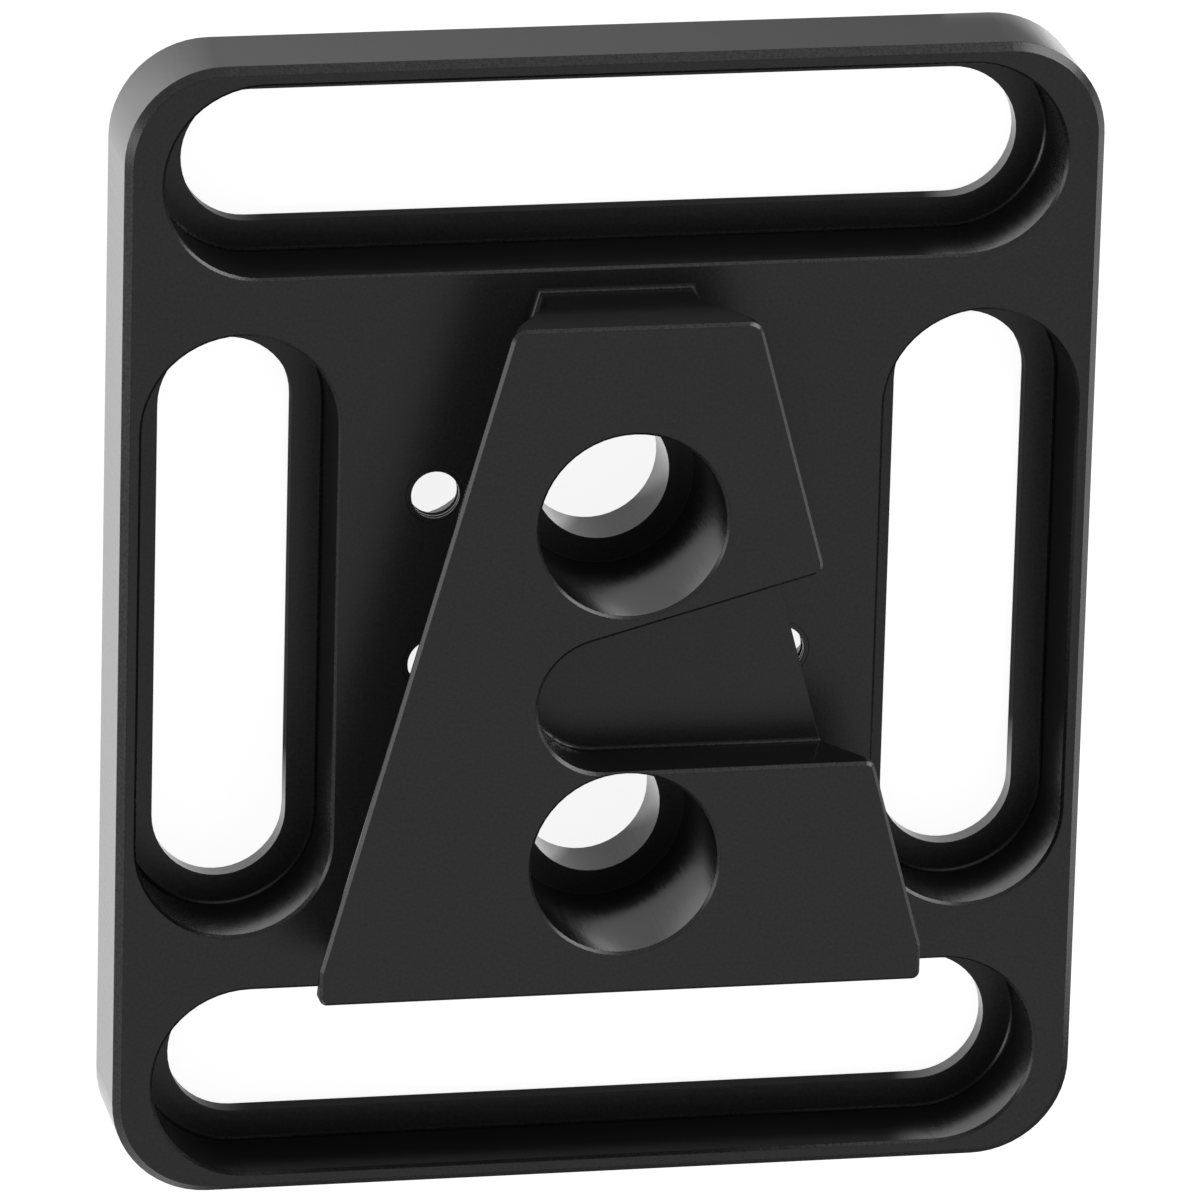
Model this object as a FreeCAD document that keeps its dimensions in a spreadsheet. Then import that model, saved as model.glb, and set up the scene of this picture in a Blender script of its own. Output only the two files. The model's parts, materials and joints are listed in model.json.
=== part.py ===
# Wedge plate for a V-lock battery mount: a slotted back plate with a dovetail wedge standing on its front,
# milled from one block of aluminium.
# The plate lies on its back at z = 0. The wedge points along +Z, and its narrow end along +Y.
import FreeCAD, Part
import math
import os
import re

import Sketcher

# Driving sizes in millimetres
SIZES = {
    # Back plate
    "plate_width": 50.0,
    "plate_height": 60.0,
    "plate_thickness": 6.0,
    "plate_corner_radius": 5.0,
    "plate_edge_chamfer": 0.4,
    # Quarter inch cap screw that the slots and bores take
    "screw_diameter": 6.35,
    "screw_head_diameter": 9.525,
    # Counterbored slots along the four edges of the plate
    "slot_screw_clearance": 0.55,
    "slot_head_clearance": 0.475,
    "slot_lip": 1.2,
    "slot_edge_wall": 1.0,
    "slot_end_margin": 2.0,
    "slot_web": 3.0,
    "slot_floor_chamfer": 0.1,
    # Wedge, its front face and the undercut below each flank; the trim takes the points off the wide end
    "wedge_length": 35.5,
    "wedge_wide_width": 32.0,
    "wedge_narrow_width": 12.5,
    "wedge_end_trim": 0.5,
    "wedge_height": 6.0,
    "wedge_wide_corner_radius": 0.4,
    "wedge_narrow_corner_radius": 0.8,
    "wedge_edge_chamfer": 0.18,
    "wedge_edge_land": 0.3,
    "wedge_overhang": 2.3,
    "neck_height": 2.0,
    "neck_fillet_radius": 0.25,
    # Counterbored screw bores through the wedge
    "bore_screw_clearance": 0.65,
    "bore_head_clearance": 0.075,
    "bore_floor": 3.5,
    "bore_spacing": 18.0,
    "bore_from_wide_end": 7.0,
    # Latch notch, open to the right; a thin wall parts it from the lower bore
    "notch_depth": 3.5,
    "notch_bore_wall": 0.1,
    "notch_end_radius": 3.55,
    "notch_end_offset": 1.08,
    "notch_floor_radius": 0.2,
    "notch_mouth_radius": 0.5,
    # Small tapped holes, with a wider relief from the back
    "tapped_diameter": 3.0,
    "tapped_web": 1.1,
    "tapped_relief_diameter": 6.0,
    "tapped_overrun": 1.0,
    "tapped_spacing_across": 18.0,
    "tapped_spacing_along": 9.0,
    # Edge break of slots, bores and holes
    "rim_chamfer": 0.15,
}

# Formulas that several features share
SLOT_RADIUS = "((screw_diameter + slot_screw_clearance) / 2)"
SLOT_HEAD_RADIUS = "((screw_head_diameter + slot_head_clearance) / 2)"
END_SLOT_Y = f"(plate_height / 2 - slot_edge_wall - {SLOT_HEAD_RADIUS})"
END_SLOT_REACH = f"(plate_width / 2 - slot_end_margin - {SLOT_HEAD_RADIUS})"
SIDE_SLOT_X = f"(plate_width / 2 - slot_edge_wall - {SLOT_HEAD_RADIUS})"
SIDE_SLOT_REACH = f"({END_SLOT_Y} - 2 * {SLOT_HEAD_RADIUS} - slot_web)"
FRONT_Z = "(plate_thickness + wedge_height)"
WIDE_END_Y = "(-wedge_length / 2)"
TAPER = "atan((wedge_wide_width - wedge_narrow_width) / 2 / wedge_length)"
FLANK_OFFSET = f"((wedge_wide_width + wedge_narrow_width) / 4 * cos({TAPER}))"
BORE_RADIUS = "((screw_diameter + bore_screw_clearance) / 2)"
BORE_HEAD_RADIUS = "((screw_head_diameter + bore_head_clearance) / 2)"
UPPER_BORE_Y = f"({WIDE_END_Y} + bore_from_wide_end + bore_spacing)"
NOTCH_WALL = f"(bore_from_wide_end + {BORE_HEAD_RADIUS} + notch_bore_wall)"

# The sketcher's numbers for a curve's points, and for the sketch's own origin and axes
START, END, CENTRE = range(1, 4)
HORIZONTAL_AXIS, VERTICAL_AXIS = range(-1, -3, -1)
ORIGIN = (HORIZONTAL_AXIS, START)

# How far a cut runs past the metal, and how near a point counts as lying on a plane
CUT_CLEARANCE = 1.0
TOLERANCE = 1e-4

NODE = "wedge_plate"


def formula(text):
    """Return the formula with each size's name turned into a reference to its cell."""
    return re.sub(r"[a-z_]+", lambda word: ("Sizes." if word[0] in SIZES else "") + word[0], text)


def make_sheet(doc):
    sheet = doc.addObject("Spreadsheet::Sheet", "Sizes")
    for row, (name, value) in enumerate(SIZES.items(), start=1):
        sheet.set(f"A{row}", name.replace("_", " "))
        sheet.set(f"B{row}", str(value))
        sheet.setAlias(f"B{row}", name)
    doc.recompute()


def origin_feature(body, role):
    return next(item for item in body.Origin.OriginFeatures if item.Role == role)


def new_sketch(body, name, role, x="0", y="0", z="0", turn_axis=(0, 0, 1), turn="0"):
    """Attach a sketch to one of the body's planes, moved and turned in that plane's own axes."""
    sketch = body.newObject("Sketcher::SketchObject", name)
    sketch.AttachmentSupport = [(origin_feature(body, role), "")]
    sketch.MapMode = "FlatFace"
    rotation = FreeCAD.Rotation(FreeCAD.Vector(turn_axis), 1)
    sketch.AttachmentOffset = FreeCAD.Placement(FreeCAD.Vector(), rotation)
    for axis, place in (("x", x), ("y", y), ("z", z)):
        sketch.setExpression(f"AttachmentOffset.Base.{axis}", formula(place))
    sketch.setExpression("AttachmentOffset.Rotation.Angle", formula(turn))
    return sketch


def tie(sketch, kind, *places):
    sketch.addConstraint(Sketcher.Constraint(kind, *places))


def drive(sketch, name, size, kind, *places):
    """Add a dimension to the sketch and bind it to a formula of the sizes."""
    index = sketch.addConstraint(Sketcher.Constraint(kind, *places, 1.0))
    sketch.renameConstraint(index, name)
    sketch.setExpression(f"Constraints.{name}", formula(size))


def add_line(sketch, start, end):
    return sketch.addGeometry(Part.LineSegment(FreeCAD.Vector(*start), FreeCAD.Vector(*end)), False)


def add_circle(sketch, centre):
    return sketch.addGeometry(Part.Circle(FreeCAD.Vector(*centre), FreeCAD.Vector(0, 0, 1), 1), False)


def add_half_circle(sketch, centre, start_angle):
    circle = Part.Circle(FreeCAD.Vector(*centre), FreeCAD.Vector(0, 0, 1), 1)
    return sketch.addGeometry(Part.ArcOfCircle(circle, start_angle, start_angle + math.pi), False)


def add_polygon(sketch, corners):
    """Draw a closed outline through the corners, roughly placed, and make its square lines stay square."""
    lines = []
    for start, end in zip(corners, corners[1:] + corners[:1]):
        lines.append(add_line(sketch, start, end))
        if start[0] == end[0]:
            tie(sketch, "Vertical", lines[-1])
        elif start[1] == end[1]:
            tie(sketch, "Horizontal", lines[-1])
    for line, following in zip(lines, lines[1:] + lines[:1]):
        tie(sketch, "Coincident", line, END, following, START)
    return lines


def new_feature(body, kind, name, **sizes):
    """Add a feature to the body and bind its sizes to formulas."""
    feature = body.newObject(f"PartDesign::{kind}", name)
    for size, text in sizes.items():
        feature.setExpression(size, formula(text))
    return feature


def pad(sketch, body, length):
    feature = new_feature(body, "Pad", f"{sketch.Name}Pad", Length=length)
    feature.Profile = sketch
    body.Document.recompute()
    return feature


def pocket(sketch, body, depth):
    feature = new_feature(body, "Pocket", f"{sketch.Name}Cut", Length=depth)
    feature.Profile = sketch
    body.Document.recompute()
    return feature


def mirror(feature, body, role):
    copy = body.newObject("PartDesign::Mirrored", f"{feature.Name}Mirrored")
    copy.Originals = [feature]
    copy.MirrorPlane = (origin_feature(body, role), [""])
    body.Tip = copy
    body.Document.recompute()
    return copy


def fillet(base, body, name, edges, radius):
    feature = new_feature(body, "Fillet", name, Radius=radius)
    feature.Base = (base, edges)
    body.Document.recompute()
    return feature


def chamfer(base, body, name, edges, size):
    feature = new_feature(body, "Chamfer", name, Size=size)
    feature.Base = (base, edges)
    body.Document.recompute()
    return feature


def lies_at(shape, height):
    box = shape.BoundBox
    return abs(box.ZMin - height) < TOLERANCE and abs(box.ZMax - height) < TOLERANCE


def is_upright(edge):
    box = edge.BoundBox
    return box.XLength < TOLERANCE and box.YLength < TOLERANCE


def edge_names(feature, wanted):
    """Name the feature's edges that pass a test."""
    return [f"Edge{index}" for index, edge in enumerate(feature.Shape.Edges, start=1) if wanted(edge)]


def inner_edge_names(feature, height, around_middle):
    """Name the edges inside the largest flat face at a height: the outline round its middle, or the rest."""
    faces = [face for face in feature.Shape.Faces if lies_at(face, height)]
    face = max(faces, key=lambda item: item.Area)
    chosen = []
    for wire in face.Wires:
        box = wire.BoundBox
        holds_middle = box.XMin < 0 < box.XMax and box.YMin < 0 < box.YMax
        if not wire.isSame(face.OuterWire) and holds_middle == around_middle:
            chosen.extend(wire.Edges)
    return edge_names(feature, lambda edge: any(edge.isSame(item) for item in chosen))


def make_plate(body):
    """Make the back plate with round corners and broken outer edges."""
    sketch = new_sketch(body, "PlateOutline", "XY_Plane")
    bottom, right, top, left = add_polygon(sketch, [(-1, -1), (1, -1), (1, 1), (-1, 1)])
    tie(sketch, "Symmetric", bottom, START, top, START, *ORIGIN)
    drive(sketch, "width", "plate_width", "DistanceX", bottom, START, bottom, END)
    drive(sketch, "height", "plate_height", "DistanceY", right, START, right, END)
    plate = pad(sketch, body, "plate_thickness")
    plate = fillet(plate, body, "PlateCorners", edge_names(plate, is_upright), "plate_corner_radius")
    thickness = SIZES["plate_thickness"]
    outer = edge_names(plate, lambda edge: lies_at(edge, 0) or lies_at(edge, thickness))
    chamfer(plate, body, "PlateEdges", outer, "plate_edge_chamfer")


def make_wedge_block(body):
    """Add the wedge as an upright block with the outline of its front face."""
    sketch = new_sketch(body, "WedgeOutline", "XY_Plane", y=WIDE_END_Y, z="plate_thickness")
    corners = [(-2, 0), (2, 0), (2, 1), (1, 2), (-1, 2), (-2, 1)]
    wide, right_flat, _, narrow, _, left_flat = add_polygon(sketch, corners)
    tie(sketch, "PointOnObject", wide, START, HORIZONTAL_AXIS)
    drive(sketch, "wide", "wedge_wide_width - 2 * wedge_end_trim", "DistanceX", wide, START, wide, END)
    drive(sketch, "wide_half", "wedge_wide_width / 2 - wedge_end_trim", "DistanceX", *ORIGIN, wide, END)
    flat = f"wedge_end_trim / tan({TAPER})"
    drive(sketch, "right_flat", flat, "DistanceY", right_flat, START, right_flat, END)
    drive(sketch, "left_flat", flat, "DistanceY", left_flat, END, left_flat, START)
    drive(sketch, "narrow", "wedge_narrow_width", "DistanceX", narrow, END, narrow, START)
    drive(sketch, "narrow_half", "wedge_narrow_width / 2", "DistanceX", *ORIGIN, narrow, START)
    drive(sketch, "length", "wedge_length", "DistanceY", *ORIGIN, narrow, START)
    pad(sketch, body, "wedge_height")
    half_length = SIZES["wedge_length"] / 2
    for end, place in (("Wide", -half_length), ("Narrow", half_length)):
        base = body.Tip
        corners = edge_names(
            base, lambda edge: is_upright(edge) and abs(edge.BoundBox.YMin - place) < TOLERANCE
        )
        fillet(base, body, f"{end}Corners", corners, f"wedge_{end.lower()}_corner_radius")


def cut_notch(body):
    """Cut the latch notch: level lower wall, round end, and an upper wall square to the right flank."""
    sketch = new_sketch(body, "Notch", "XY_Plane", y=WIDE_END_Y, z=FRONT_Z)
    lower = add_line(sketch, (-1, 1), (3, 1))
    mouth = add_line(sketch, (3, 1), (3, 3))
    upper = add_line(sketch, (-1, 3), (3, 3))
    end = add_half_circle(sketch, (-1, 2), math.pi / 2)
    tie(sketch, "Coincident", lower, END, mouth, START)
    tie(sketch, "Coincident", mouth, END, upper, END)
    tie(sketch, "Tangent", upper, START, end, START)
    tie(sketch, "Tangent", end, END, lower, START)
    tie(sketch, "Horizontal", lower)
    tie(sketch, "Vertical", mouth)
    drive(sketch, "wall", NOTCH_WALL, "DistanceY", *ORIGIN, lower, START)
    drive(sketch, "offset", "notch_end_offset", "DistanceX", end, CENTRE, *ORIGIN)
    drive(sketch, "radius", "notch_end_radius", "Radius", end)
    drive(sketch, "slope", TAPER, "Angle", upper)
    drive(sketch, "reach", f"wedge_wide_width / 2 + {CUT_CLEARANCE}", "DistanceX", *ORIGIN, lower, END)
    notch = pocket(sketch, body, "notch_depth")
    floor_z = SIZES["plate_thickness"] + SIZES["wedge_height"] - SIZES["notch_depth"]
    walls = edge_names(notch, lambda edge: lies_at(edge, floor_z) and not on_flank(edge))
    notch = fillet(notch, body, "NotchFloor", walls, "notch_floor_radius")
    mouth = edge_names(
        notch, lambda edge: is_upright(edge) and on_flank(edge) and edge.BoundBox.ZMin > floor_z
    )
    fillet(notch, body, "NotchMouth", mouth, "notch_mouth_radius")


def on_flank(edge):
    """Say whether both ends of an edge lie on the right flank of the wedge block."""
    run = SIZES["wedge_length"]
    rise = (SIZES["wedge_wide_width"] - SIZES["wedge_narrow_width"]) / 2
    middle = (SIZES["wedge_wide_width"] + SIZES["wedge_narrow_width"]) / 4
    return all(abs((end.X - middle) * run + end.Y * rise) < TOLERANCE * run for end in edge.Vertexes)


def break_wedge_edges(body):
    front = SIZES["plate_thickness"] + SIZES["wedge_height"]
    base = body.Tip
    edges = edge_names(base, lambda edge: lies_at(edge, front))
    chamfer(base, body, "WedgeEdges", edges, "wedge_edge_chamfer")


def cut_flanks(body):
    """Undercut both flanks along their taper: an upright neck, a flare and a narrow land at the front."""
    sketch = new_sketch(body, "Undercut", "XZ_Plane", turn_axis=(0, 1, 0), turn=TAPER)
    corners = [(1, 0), (3, 0), (3, 3), (2, 3), (1, 1)]
    foot, outside, land, flare, neck = add_polygon(sketch, corners)
    drive(sketch, "foot", "plate_thickness", "DistanceY", *ORIGIN, foot, START)
    drive(sketch, "neck", "neck_height", "DistanceY", neck, END, neck, START)
    drive(sketch, "land", f"{FRONT_Z} - wedge_edge_land", "DistanceY", *ORIGIN, flare, START)
    drive(sketch, "flank", FLANK_OFFSET, "DistanceX", *ORIGIN, flare, START)
    drive(sketch, "overhang", "wedge_overhang", "DistanceX", flare, END, flare, START)
    drive(sketch, "outside", str(CUT_CLEARANCE), "DistanceX", flare, START, outside, START)
    undercut = new_feature(body, "Pocket", "UndercutCut")
    undercut.Profile = sketch
    undercut.SideType = "Symmetric"
    undercut.Type = "ThroughAll"
    body.Document.recompute()
    both = mirror(undercut, body, "YZ_Plane")
    edges = inner_edge_names(both, SIZES["plate_thickness"], around_middle=True)
    fillet(both, body, "NeckFoot", edges, "neck_fillet_radius")


def add_slot(sketch, reach, radius):
    """Draw a slot along the sketch's own X, centred on its origin."""
    top = add_line(sketch, (-1, 1), (1, 1))
    right = add_half_circle(sketch, (1, 0), -math.pi / 2)
    bottom = add_line(sketch, (1, -1), (-1, -1))
    left = add_half_circle(sketch, (-1, 0), math.pi / 2)
    tie(sketch, "Tangent", top, END, right, END)
    tie(sketch, "Tangent", right, START, bottom, START)
    tie(sketch, "Tangent", bottom, END, left, END)
    tie(sketch, "Tangent", left, START, top, START)
    tie(sketch, "Horizontal", top)
    tie(sketch, "Equal", right, left)
    tie(sketch, "Symmetric", right, CENTRE, left, CENTRE, *ORIGIN)
    drive(sketch, "reach", reach, "DistanceX", *ORIGIN, right, CENTRE)
    drive(sketch, "radius", radius, "Radius", right)


def cut_slots(body):
    """Cut the counterbored slots along the plate's edges, each with its mirror image."""
    sides = (
        ("EndSlot", {"y": END_SLOT_Y}, END_SLOT_REACH, "XZ_Plane"),
        ("SideSlot", {"x": SIDE_SLOT_X, "turn": "90"}, SIDE_SLOT_REACH, "YZ_Plane"),
    )
    cuts = (
        ("Head", SLOT_HEAD_RADIUS, "plate_thickness - slot_lip"),
        ("Screw", SLOT_RADIUS, f"plate_thickness + {CUT_CLEARANCE}"),
    )
    for cut, radius, depth in cuts:
        for side, place, reach, plane in sides:
            sketch = new_sketch(body, side + cut, "XY_Plane", z="plate_thickness", **place)
            add_slot(sketch, reach, radius)
            both = mirror(pocket(sketch, body, depth), body, plane)
        if cut == "Head":
            floors = edge_names(both, lambda edge: lies_at(edge, SIZES["slot_lip"]))
            chamfer(both, body, "SlotFloors", floors, "slot_floor_chamfer")
    base = body.Tip
    rims = inner_edge_names(base, SIZES["plate_thickness"], around_middle=False)
    chamfer(base, body, "SlotRims", rims, "rim_chamfer")


def cut_bores(body):
    """Turn the upper counterbored bore with its broken rim, and repeat it below."""
    sketch = new_sketch(body, "Bore", "YZ_Plane", x=UPPER_BORE_Y)
    corners = [(0, -1), (1, -1), (1, 1), (2, 1), (2, 2), (3, 3), (0, 3)]
    start, wall, floor, head, rim, top, axis = add_polygon(sketch, corners)
    tie(sketch, "PointOnObject", start, START, VERTICAL_AXIS)
    drive(sketch, "below", str(CUT_CLEARANCE), "DistanceY", start, START, *ORIGIN)
    drive(sketch, "bore", BORE_RADIUS, "DistanceX", *ORIGIN, wall, START)
    drive(sketch, "floor", "bore_floor", "DistanceY", *ORIGIN, floor, START)
    drive(sketch, "head", BORE_HEAD_RADIUS, "DistanceX", *ORIGIN, head, START)
    drive(sketch, "rim", f"{FRONT_Z} - rim_chamfer", "DistanceY", *ORIGIN, rim, START)
    drive(sketch, "widening", f"rim_chamfer + {CUT_CLEARANCE}", "DistanceX", rim, START, rim, END)
    drive(sketch, "rise", f"rim_chamfer + {CUT_CLEARANCE}", "DistanceY", rim, START, rim, END)
    bore = body.newObject("PartDesign::Groove", "BoreCut")
    bore.Profile = sketch
    bore.ReferenceAxis = (sketch, ["V_Axis"])
    bore.Angle = 360
    body.Document.recompute()
    pair = new_feature(body, "LinearPattern", "BorePair", Length="bore_spacing")
    pair.Originals = [bore]
    pair.Direction = (origin_feature(body, "Y_Axis"), [""])
    pair.Reversed = True
    pair.Occurrences = 2
    body.Tip = pair
    body.Document.recompute()


def cut_tapped_holes(body):
    """Drill three tapped holes and their reliefs from the back: a level pair, and one above its left hole."""
    sketch = new_sketch(body, "TappedHoles", "XY_Plane", y=UPPER_BORE_Y)
    upper = add_circle(sketch, (-1, 0))
    left = add_circle(sketch, (-1, -1))
    right = add_circle(sketch, (1, -1))
    tie(sketch, "Horizontal", upper, CENTRE, *ORIGIN)
    tie(sketch, "Vertical", upper, CENTRE, left, CENTRE)
    tie(sketch, "Horizontal", left, CENTRE, right, CENTRE)
    tie(sketch, "Equal", upper, left)
    tie(sketch, "Equal", upper, right)
    drive(sketch, "across", "tapped_spacing_across", "DistanceX", left, CENTRE, right, CENTRE)
    drive(sketch, "half_across", "tapped_spacing_across / 2", "DistanceX", upper, CENTRE, *ORIGIN)
    drive(sketch, "along", "tapped_spacing_along", "DistanceY", left, CENTRE, upper, CENTRE)
    drive(sketch, "radius", "tapped_diameter / 2", "Radius", upper)
    body.Document.recompute()
    holes = body.newObject("PartDesign::Hole", "TappedHolesCut")
    holes.Profile = sketch
    holes.Reversed = True
    holes.DepthType = "Dimension"
    holes.DrillPoint = "Flat"
    holes.HoleCutType = "Counterbore"
    holes.HoleCutCustomValues = True
    holes.setExpression("Diameter", formula("tapped_diameter"))
    holes.setExpression("Depth", formula("plate_thickness + tapped_overrun"))
    holes.setExpression("HoleCutDiameter", formula("tapped_relief_diameter"))
    holes.setExpression("HoleCutDepth", formula("plate_thickness - tapped_web"))
    body.Document.recompute()


def break_back_rims(body):
    base = body.Tip
    chamfer(base, body, "BackRims", inner_edge_names(base, 0, around_middle=False), "rim_chamfer")


def check_document(doc, body):
    """Stop if a feature failed or the solid isn't whole."""
    for item in doc.Objects:
        if "Invalid" in item.State or "Error" in item.State:
            raise RuntimeError(f"{item.Name} failed: {item.getStatusString()}")
    shape = body.Shape
    if shape.isNull() or not shape.isValid() or len(shape.Solids) != 1:
        raise RuntimeError(f"{body.Label} isn't one valid solid")


def main():
    doc = FreeCAD.newDocument("WedgePlate")
    make_sheet(doc)
    body = doc.addObject("PartDesign::Body", "WedgePlate")
    body.Label = NODE
    for step in (
        make_plate,
        make_wedge_block,
        cut_notch,
        break_wedge_edges,
        cut_flanks,
        cut_slots,
        cut_bores,
        cut_tapped_holes,
        break_back_rims,
    ):
        step(body)
        check_document(doc, body)
        print(f"{step.__name__}: {body.Shape.Volume:.1f} mm3")
    os.makedirs("parts", exist_ok=True)
    body.Shape.exportStep(f"parts/{body.Label}.step")


main()
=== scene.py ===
import json
import math

import bpy
from mathutils import Matrix, Vector


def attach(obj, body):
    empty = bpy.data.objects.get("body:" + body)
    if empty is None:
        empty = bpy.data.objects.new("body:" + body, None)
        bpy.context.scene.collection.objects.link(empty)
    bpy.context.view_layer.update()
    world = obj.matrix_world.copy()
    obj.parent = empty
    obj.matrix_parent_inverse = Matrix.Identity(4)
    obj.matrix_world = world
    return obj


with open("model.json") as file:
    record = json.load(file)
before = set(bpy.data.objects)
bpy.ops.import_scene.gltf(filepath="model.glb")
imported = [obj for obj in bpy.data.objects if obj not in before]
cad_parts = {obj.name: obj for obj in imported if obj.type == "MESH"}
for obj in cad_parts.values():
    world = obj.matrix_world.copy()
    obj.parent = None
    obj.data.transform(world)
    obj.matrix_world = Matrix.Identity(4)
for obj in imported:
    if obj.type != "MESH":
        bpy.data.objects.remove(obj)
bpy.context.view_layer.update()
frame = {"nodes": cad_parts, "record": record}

MILLIMETRE = 0.001
BODY = "root"
NODE = "wedge_plate"
SLOT = "black_anodised"
WHITE = (1.0, 1.0, 1.0, 1.0)

# Camera: how the part is turned before it, where the middle of the plate's front stands, and its reach
IMAGE_PIXELS = 1200
FOCAL_PIXELS = 12617.9
SENSOR_WIDTH_MM = 36.0
TILT_DEG = 19.152
TURN_DEG = 11.533
ROLL_DEG = -1.517
CAMERA_DISTANCE = 639.26 * MILLIMETRE
CAMERA_REACH = (60 * MILLIMETRE, 24.0)
OFFSET_RIGHT = 0.366 * MILLIMETRE
OFFSET_UP = -1.211 * MILLIMETRE
PLATE_FRONT_Z = 6.0 * MILLIMETRE

# Studio floor just under the part, which glows where it is seen or mirrored. Mirrors show it as a painted
# reflection
# of painted light and shade: white under the middle of the part and to its left and right, grey along its
# middle line and behind it, where the grey gets lighter to the left, and dark under the slots and in front,
# a painted shadow. Each border runs from dark to light.
FLOOR_SIZE = 12.0
FLOOR_GAP = 0.02 * MILLIMETRE
FLOOR_COLOUR = (0.85, 0.85, 0.85, 1.0)
FLOOR_GLOW_SEEN = 0.88
FLOOR_GLOW_MIRRORED = 1.0
DARK_SHARE = 0.08
GREY_SHARE = (0.28, 0.39)
WHITE_SHARE = 1.0
MIDDLE_BORDER = (19 * MILLIMETRE, 15 * MILLIMETRE)
MIDDLE_LINE_SHARE = 0.5
MIDDLE_LINE_X = 0.95 * MILLIMETRE
MIDDLE_LINE_BORDER = (1.25 * MILLIMETRE, 1.9 * MILLIMETRE)
RIGHT_BORDER = (17 * MILLIMETRE, 19.5 * MILLIMETRE)
RIGHT_END_BORDER = (31 * MILLIMETRE, 29 * MILLIMETRE)
LEFT_BORDER = (-17 * MILLIMETRE, -25 * MILLIMETRE)
BEHIND_BORDER = (28 * MILLIMETRE, 30 * MILLIMETRE)
BEHIND_WIDTH = (20 * MILLIMETRE, -20 * MILLIMETRE)
SIDE_SLOT_INNER_BORDER = (14.2 * MILLIMETRE, 13.2 * MILLIMETRE)
SIDE_SLOT_OUTER_BORDER = (23.5 * MILLIMETRE, 25.0 * MILLIMETRE)
SIDE_SLOT_LOW_BORDER = (-8 * MILLIMETRE, -11.5 * MILLIMETRE)
SIDE_SLOT_HIGH_BORDER = (14 * MILLIMETRE, 16 * MILLIMETRE)

# Studio air: pale walls low down and a dim ceiling, by the height that a direction points to
WALL_LEVEL = 0.55
CEILING_LEVEL = 0.2
WALL_TOP = (0.3, 0.6)

# Softboxes by place, size and watts, each turned to the part
SOFTBOXES = {
    "left_softbox": {"place": (-0.96, 0.05, 0.3), "size": (0.35, 0.25), "watts": 0.8},
    "top_softbox": {"place": (0.20, -0.38, 0.95), "size": (0.7, 0.7), "watts": 0.58},
    "right_softbox": {"place": (0.70, 0.70, 0.18), "size": (0.8, 0.3), "watts": 3.5},
}

# Thread of the tapped holes, M3. The profile runs over one pitch, by share of the pitch and of the depth.
THREAD_PITCH = 0.5 * MILLIMETRE
THREAD_DEPTH = 0.26 * MILLIMETRE
THREAD_LAND = 0.1 * MILLIMETRE
THREAD_PROFILE = ((0, 0), (0.125, 0), (0.4375, 1), (0.6875, 1), (1, 0))
THREAD_STEPS = 32
THREAD_WALL_SINK = 0.02 * MILLIMETRE
THREAD_END_GAP = 0.02 * MILLIMETRE
THREAD_SHARP_DEG = 40.0

# Anodised finish. Its texture of grain and tool marks changes roughness, mirror strength and height.
BASE_COLOUR_DARK = (0.0075, 0.0075, 0.0079, 1.0)
BASE_COLOUR_LIGHT = (0.0110, 0.0110, 0.0115, 1.0)
FINISH_IOR = 1.6
EDGE_ROUNDING = 0.06 * MILLIMETRE
EDGE_SAMPLES = 4
FACE_ROUGHNESS = 0.34
WALL_ROUGHNESS = 0.18
ROUGHNESS_SPREAD = 0.12
MIRROR_RANGE = (0.37, 0.63)
MOTTLE_PER_MM = 0.22
GRAIN_PER_MM = 6.0
STRIA_PER_MM = (14.0, 14.0, 0.25)
STRIA_SHARE = 0.5
TEXTURE_HEIGHT = 0.006 * MILLIMETRE
NOISE_DETAIL = 2.0
NOISE_RANGE = (0.3, 0.7)


def link(tree, source, target):
    tree.links.new(source, target)


def add_node(tree, kind, **settings):
    node = tree.nodes.new(kind)
    for name, value in settings.items():
        setattr(node, name, value)
    return node


def new_material(name):
    """Return a new material, its empty node tree and its output node."""
    material = bpy.data.materials.new(name)
    material.use_nodes = True
    tree = material.node_tree
    tree.nodes.clear()
    return material, tree, add_node(tree, "ShaderNodeOutputMaterial")


def math_node(tree, operation, first, second):
    """Add a math node whose inputs are sockets or plain numbers, and return its result."""
    node = add_node(tree, "ShaderNodeMath", operation=operation)
    for socket, value in zip(node.inputs, (first, second)):
        if isinstance(value, bpy.types.NodeSocket):
            link(tree, value, socket)
        else:
            socket.default_value = value
    return node.outputs["Value"]


def combine(tree, operation, first, *others):
    """Join any number of values by one operation, two at a time."""
    for other in others:
        first = math_node(tree, operation, first, other)
    return first


def map_range(tree, value, low, high, new_low, new_high):
    """Map a value from one range to another, held at the ends of the new one."""
    node = add_node(tree, "ShaderNodeMapRange")
    link(tree, value, node.inputs["Value"])
    for name, number in (("From Min", low), ("From Max", high), ("To Min", new_low), ("To Max", new_high)):
        node.inputs[name].default_value = number
    return node.outputs["Result"]


def split_vector(tree, vector):
    node = add_node(tree, "ShaderNodeSeparateXYZ")
    link(tree, vector, node.inputs["Vector"])
    return node.outputs


def noise(tree, coordinates, per_mm):
    """Return noise with so many features to the millimetre along each axis."""
    scale = add_node(tree, "ShaderNodeVectorMath", operation="MULTIPLY")
    scale.inputs[1].default_value = [count / MILLIMETRE for count in per_mm]
    link(tree, coordinates, scale.inputs[0])
    node = add_node(tree, "ShaderNodeTexNoise")
    node.inputs["Scale"].default_value = 1.0
    node.inputs["Detail"].default_value = NOISE_DETAIL
    link(tree, scale.outputs["Vector"], node.inputs["Vector"])
    return node.outputs["Fac"]


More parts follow.
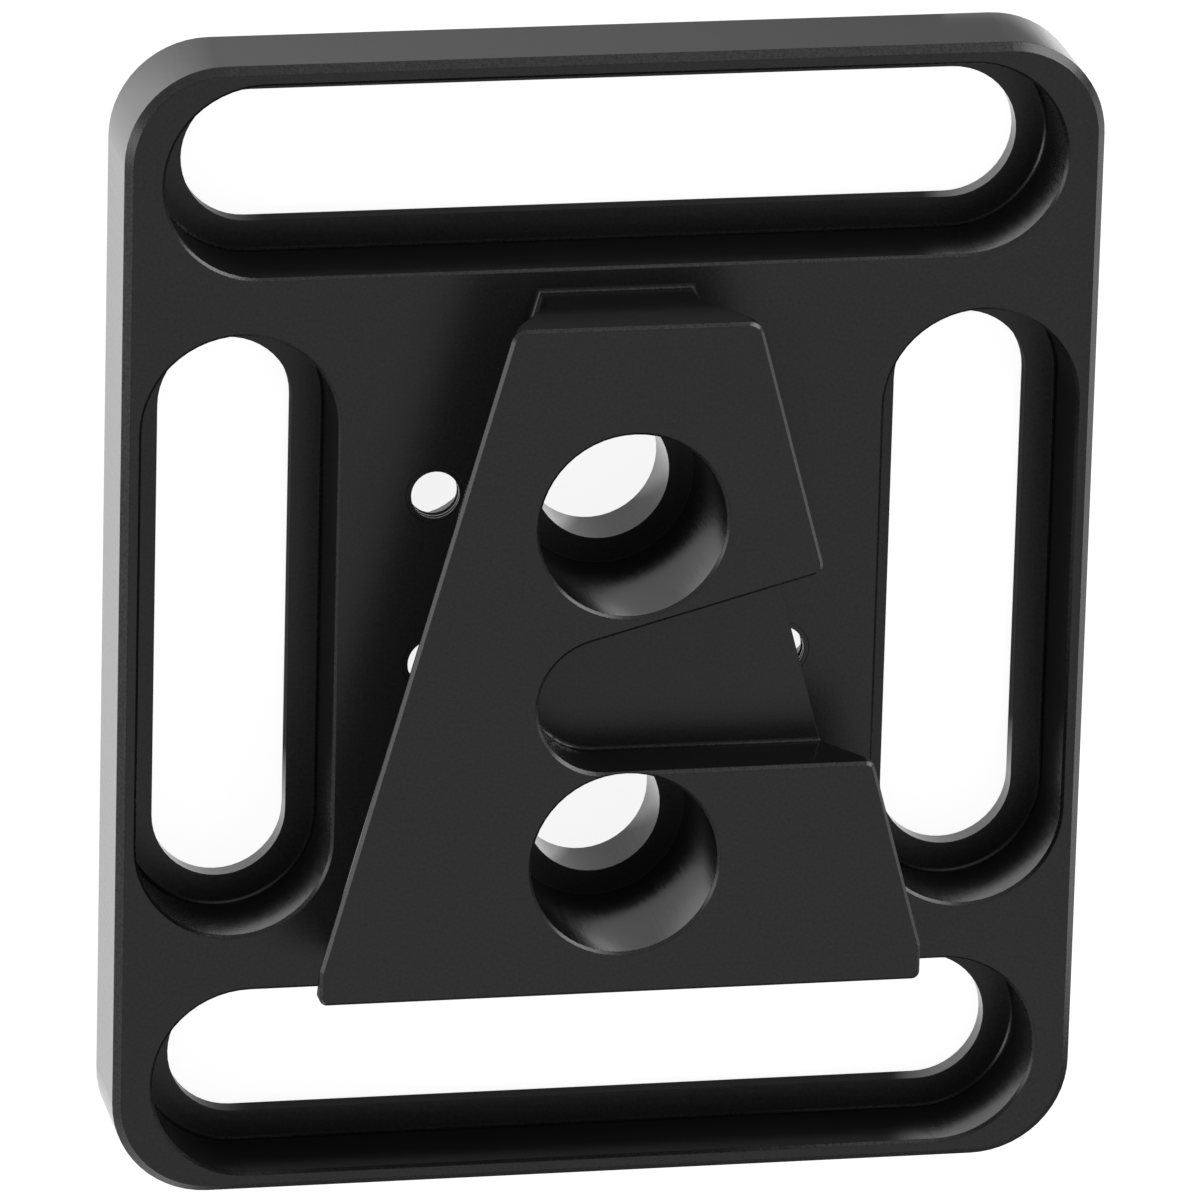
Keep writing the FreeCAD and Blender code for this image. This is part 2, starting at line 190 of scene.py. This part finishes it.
def anodised_finish():
    """Satin black anodising on milled aluminium: mottled black, fine grain and upright tool marks."""
    material, tree, output = new_material(SLOT)
    place = add_node(tree, "ShaderNodeTexCoord").outputs["Object"]
    mottle = noise(tree, place, (MOTTLE_PER_MM,) * 3)
    grain = noise(tree, place, (GRAIN_PER_MM,) * 3)
    stria = noise(tree, place, STRIA_PER_MM)

    colour = add_node(tree, "ShaderNodeMix", data_type="RGBA")
    link(tree, mottle, colour.inputs["Factor"])
    colour.inputs["A"].default_value = BASE_COLOUR_DARK
    colour.inputs["B"].default_value = BASE_COLOUR_LIGHT

    texture = add_node(tree, "ShaderNodeMix", data_type="FLOAT")
    texture.inputs["Factor"].default_value = STRIA_SHARE
    link(tree, grain, texture.inputs["A"])
    link(tree, stria, texture.inputs["B"])
    normal = split_vector(tree, add_node(tree, "ShaderNodeNewGeometry").outputs["True Normal"])
    flatness = math_node(tree, "ABSOLUTE", normal["Z"], 0.0)
    even_roughness = map_range(tree, flatness, 0.0, 1.0, WALL_ROUGHNESS, FACE_ROUGHNESS)
    half_spread = ROUGHNESS_SPREAD / 2
    change = map_range(tree, texture.outputs["Result"], *NOISE_RANGE, -half_spread, half_spread)
    roughness = math_node(tree, "ADD", even_roughness, change)
    mirror = map_range(tree, texture.outputs["Result"], *NOISE_RANGE, *MIRROR_RANGE)

    rounded = add_node(tree, "ShaderNodeBevel", samples=EDGE_SAMPLES)
    rounded.inputs["Radius"].default_value = EDGE_ROUNDING
    bump = add_node(tree, "ShaderNodeBump")
    bump.inputs["Distance"].default_value = TEXTURE_HEIGHT
    link(tree, texture.outputs["Result"], bump.inputs["Height"])
    link(tree, rounded.outputs["Normal"], bump.inputs["Normal"])

    shader = add_node(tree, "ShaderNodeBsdfPrincipled")
    shader.inputs["IOR"].default_value = FINISH_IOR
    link(tree, colour.outputs["Result"], shader.inputs["Base Color"])
    link(tree, roughness, shader.inputs["Roughness"])
    link(tree, mirror, shader.inputs["Specular IOR Level"])
    link(tree, bump.outputs["Normal"], shader.inputs["Normal"])
    link(tree, shader.outputs["BSDF"], output.inputs["Surface"])
    return material


def lighten(tree, value, border, shares=(DARK_SHARE, WHITE_SHARE)):
    """Return a share of light that rises over a border."""
    return map_range(tree, value, *border, *shares)


def painted_reflection_share(tree):
    """Return how much of its light the floor shows to mirrors, by the place on it: a painted reflection,
    with painted light and painted shade.
    """
    place = split_vector(tree, add_node(tree, "ShaderNodeNewGeometry").outputs["Position"])
    x, y = place["X"], place["Y"]
    across = math_node(tree, "ABSOLUTE", x, 0.0)
    along = math_node(tree, "ABSOLUTE", y, 0.0)
    from_line = math_node(tree, "ABSOLUTE", math_node(tree, "SUBTRACT", x, MIDDLE_LINE_X), 0.0)
    middle = math_node(
        tree,
        "MINIMUM",
        lighten(tree, along, MIDDLE_BORDER),
        lighten(tree, from_line, MIDDLE_LINE_BORDER, (MIDDLE_LINE_SHARE, WHITE_SHARE)),
    )
    left = lighten(tree, x, LEFT_BORDER)
    right = math_node(
        tree,
        "MINIMUM",
        lighten(tree, x, RIGHT_BORDER),
        lighten(tree, along, RIGHT_END_BORDER),
    )
    behind = math_node(
        tree,
        "MINIMUM",
        lighten(tree, y, BEHIND_BORDER),
        lighten(tree, x, BEHIND_WIDTH, GREY_SHARE),
    )
    # Painted light: mirrors see the floor white under the middle and to the left and right, and grey
    # behind.
    lit = combine(tree, "MAXIMUM", middle, left, right, behind)
    # Painted shade: mirrors see the floor dark under the side slots.
    painted_slot_shade = combine(
        tree,
        "MAXIMUM",
        lighten(tree, across, SIDE_SLOT_INNER_BORDER),
        lighten(tree, across, SIDE_SLOT_OUTER_BORDER),
        lighten(tree, y, SIDE_SLOT_LOW_BORDER),
        lighten(tree, y, SIDE_SLOT_HIGH_BORDER),
    )
    return math_node(tree, "MINIMUM", lit, painted_slot_shade)


def floor_finish():
    """Pale matt floor that takes the part's shadow, with a white glow where it is seen or mirrored, which
    mirrors see with painted light and shade.
    """
    material, tree, output = new_material("studio_floor")
    matt = add_node(tree, "ShaderNodeBsdfDiffuse")
    matt.inputs["Color"].default_value = FLOOR_COLOUR
    rays = add_node(tree, "ShaderNodeLightPath").outputs
    mirrored = math_node(tree, "MAXIMUM", rays["Is Glossy Ray"], rays["Is Transmission Ray"])
    strength = math_node(
        tree,
        "ADD",
        math_node(tree, "MULTIPLY", rays["Is Camera Ray"], FLOOR_GLOW_SEEN),
        math_node(tree, "MULTIPLY", mirrored, FLOOR_GLOW_MIRRORED),
    )
    light = add_node(tree, "ShaderNodeEmission")
    link(tree, strength, light.inputs["Strength"])
    total = add_node(tree, "ShaderNodeAddShader")
    link(tree, matt.outputs["BSDF"], total.inputs[0])
    link(tree, light.outputs["Emission"], total.inputs[1])

    # Painted reflection: mirrors see the floor's light cut down by the painted shade pattern.
    shade = math_node(tree, "SUBTRACT", WHITE_SHARE, painted_reflection_share(tree))
    shaded = add_node(tree, "ShaderNodeMixShader")
    link(tree, math_node(tree, "MULTIPLY", mirrored, shade), shaded.inputs["Fac"])
    link(tree, total.outputs["Shader"], shaded.inputs[1])
    link(tree, shaded.outputs["Shader"], output.inputs["Surface"])
    return material


def new_piece(name, vertices, faces, material):
    mesh = bpy.data.meshes.new(name)
    mesh.from_pydata(vertices, [], faces)
    mesh.update()
    mesh.materials.append(material)
    piece = bpy.data.objects.new(name, mesh)
    bpy.context.scene.collection.objects.link(piece)
    return piece


def make_floor():
    half = FLOOR_SIZE / 2
    corners = [(x, y, -FLOOR_GAP) for x, y in ((-half, -half), (half, -half), (half, half), (-half, half))]
    new_piece("studio_floor", corners, [(0, 1, 2, 3)], floor_finish())


def make_sky():
    """Studio air that lights the part, and a white backdrop where the camera looks past the floor."""
    world = bpy.data.worlds.new("studio_sky")
    world.use_nodes = True
    tree = world.node_tree
    tree.nodes.clear()
    direction = split_vector(tree, add_node(tree, "ShaderNodeTexCoord").outputs["Generated"])
    level = map_range(tree, direction["Z"], *WALL_TOP, WALL_LEVEL, CEILING_LEVEL)
    seen = add_node(tree, "ShaderNodeLightPath").outputs["Is Camera Ray"]
    air = add_node(tree, "ShaderNodeBackground")
    air.inputs["Color"].default_value = WHITE
    link(tree, math_node(tree, "MAXIMUM", level, seen), air.inputs["Strength"])
    output = add_node(tree, "ShaderNodeOutputWorld")
    link(tree, air.outputs["Background"], output.inputs["Surface"])
    bpy.context.scene.world = world


def make_softboxes():
    for name, box in SOFTBOXES.items():
        lamp = bpy.data.lights.new(name, "AREA")
        lamp.shape = "RECTANGLE"
        lamp.size, lamp.size_y = box["size"]
        lamp.energy = box["watts"]
        light = bpy.data.objects.new(name, lamp)
        light.location = box["place"]
        light.rotation_euler = (-light.location).to_track_quat("-Z", "Y").to_euler()
        bpy.context.scene.collection.objects.link(light)


def make_camera():
    """Stand the camera where the photograph was taken from, looking down on the plate."""
    turn = (
        Matrix.Rotation(math.radians(ROLL_DEG), 3, "Z")
        @ Matrix.Rotation(math.radians(TILT_DEG), 3, "X")
        @ Matrix.Rotation(math.radians(TURN_DEG), 3, "Y")
    )
    back = turn.transposed()
    place = back @ Vector((-OFFSET_RIGHT, -OFFSET_UP, CAMERA_DISTANCE)) + Vector((0, 0, PLATE_FRONT_Z))
    camera = bpy.data.cameras.new("camera")
    camera.sensor_width = SENSOR_WIDTH_MM
    camera.lens = FOCAL_PIXELS / IMAGE_PIXELS * SENSOR_WIDTH_MM
    camera.clip_start, camera.clip_end = CAMERA_REACH
    view = bpy.data.objects.new("camera", camera)
    view.matrix_world = Matrix.Translation(place) @ back.to_4x4()
    bpy.context.scene.collection.objects.link(view)
    bpy.context.scene.camera = view


def tapped_hole_places():
    """Read from the part's own mounts where each tapped hole starts, and the radius of them all."""
    mounts = {mount["name"]: mount for mount in frame["record"]["mounts"]}
    pair = mounts["lower_tapped_holes"]
    middle = Vector(pair["pos_m"])
    half = Vector((pair["dims"]["spacing_x_mm"] / 2 * MILLIMETRE, 0, 0))
    places = {
        "lower_left": middle - half,
        "lower_right": middle + half,
        "upper_left": Vector(mounts["upper_tapped_hole"]["pos_m"]),
    }
    return places, pair["dims"]["hole_r_mm"] * MILLIMETRE


def thread_height(share):
    """Return the thread profile's height at a share of the pitch, 0 at its root and 1 at its crest."""
    for (start, low), (end, high) in zip(THREAD_PROFILE, THREAD_PROFILE[1:]):
        if share <= end:
            return low + (high - low) * (share - start) / (end - start)


def make_thread(name, place, radius, material):
    """Line one hole with a sleeve that has the thread inside and a plain land at the plate's front."""
    rise = THREAD_PITCH / THREAD_STEPS
    bottom = place.z + THREAD_END_GAP
    top = PLATE_FRONT_Z - THREAD_END_GAP
    levels = int((top - THREAD_LAND - bottom) / rise)
    outside = [radius + THREAD_WALL_SINK] * THREAD_STEPS
    crest = [radius - THREAD_DEPTH] * THREAD_STEPS
    rings = [(bottom, outside)]
    for level in range(levels + 1):
        shares = [(level - step) % THREAD_STEPS / THREAD_STEPS for step in range(THREAD_STEPS)]
        reaches = [radius - THREAD_DEPTH * thread_height(share) for share in shares]
        rings.append((bottom + level * rise, reaches))
    rings += [(top - THREAD_LAND, crest), (top, crest), (top, outside)]
    vertices = []
    for z, reaches in rings:
        for step, reach in enumerate(reaches):
            angle = 2 * math.pi * step / THREAD_STEPS
            vertices.append((place.x + reach * math.cos(angle), place.y + reach * math.sin(angle), z))
    faces = []
    for ring in range(len(rings)):
        low = ring * THREAD_STEPS
        high = (ring + 1) % len(rings) * THREAD_STEPS
        for step in range(THREAD_STEPS):
            following = (step + 1) % THREAD_STEPS
            faces.append((low + step, high + step, high + following))
            faces.append((low + step, high + following, low + following))
    piece = new_piece(name, vertices, faces, material)
    for face in piece.data.polygons:
        face.use_smooth = True
    piece.data.set_sharp_from_angle(angle=math.radians(THREAD_SHARP_DEG))
    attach(piece, BODY)


def dress_part():
    """Give the plate its finish and line its tapped holes with threads."""
    finish = anodised_finish()
    plate = frame["nodes"][NODE]
    plate.data.materials.clear()
    plate.data.materials.append(finish)
    places, radius = tapped_hole_places()
    for name, place in places.items():
        make_thread(f"thread_{name}", place, radius, finish)


bpy.context.scene.view_settings.view_transform = "Standard"
make_floor()
make_sky()
make_softboxes()
make_camera()
dress_part()
